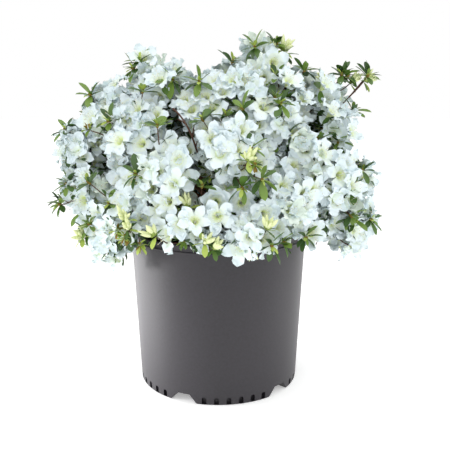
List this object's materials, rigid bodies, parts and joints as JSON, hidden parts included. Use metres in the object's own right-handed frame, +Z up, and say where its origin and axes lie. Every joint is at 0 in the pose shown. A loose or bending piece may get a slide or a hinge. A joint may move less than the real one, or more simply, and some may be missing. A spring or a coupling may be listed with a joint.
{
  "type": "potted azalea shrub",
  "caption": "Rounded evergreen azalea shrub in full white bloom on a short branching trunk, rooted in potting mix in a tapered grey plastic nursery pot with drain notches.",
  "frame": {"origin": "centre of the pot's flat underside, on the pot's axis", "axes": "+Z up along the pot's axis, the side seen in the picture faces -Y, +X to the right of that view"},
  "size_m": [0.5095, 0.4645, 0.547],
  "materials": {
    "pot": "satin grey moulded plastic",
    "soil": "loose dark bark mix",
    "bark": "rough brown bark",
    "blossom": "soft white petals",
    "leaf": "satin green leaves"
  },
  "bodies": {
    "root": {"pot": "pot", "soil": "soil", "trunk": "bark", "bough_back_left": "bark", "bough_back_low_left": "bark", "bough_back_low_right": "bark", "bough_back_right": "bark", "bough_centre": "bark", "bough_front": "bark", "bough_front_left": "bark", "bough_front_right": "bark", "bough_left": "bark", "bough_left_low": "bark", "bough_peak": "bark", "bough_right": "bark", "bough_right_low": "bark", "bough_top_left": "bark", "bough_upper_left": "bark", "back_low_1": "blossom", "back_low_2": "blossom", "back_low_3": "blossom", "back_low_4": "blossom", "back_low_5": "blossom", "back_middle_1": "blossom", "back_middle_2": "blossom", "back_middle_3": "blossom", "back_middle_4": "blossom", "back_top_1": "blossom", "back_top_2": "blossom", "back_top_3": "blossom", "centre": "blossom", "centre_right": "blossom", "front_centre_low": "blossom", "front_left": "blossom", "front_low": "blossom", "front_right": "blossom", "inner_left": "blossom", "inner_right": "blossom", "left_front": "blossom", "left_hanging": "blossom", "left_low_middle": "blossom", "left_lower": "blossom", "left_side": "blossom", "peak": "blossom", "right_edge": "blossom", "right_front": "blossom", "right_inner": "blossom", "right_lower": "blossom", "right_outer": "blossom", "right_upper": "blossom", "top_left": "blossom", "top_middle": "blossom", "upper_left": "blossom", "sprig_bud_left": "leaf", "sprig_far_left": "leaf", "sprig_peak": "leaf", "sprig_top_left": "leaf", "sprig_top_right": "leaf", "sprig_top_right_inner": "leaf"}
  },
  "joints": []
}
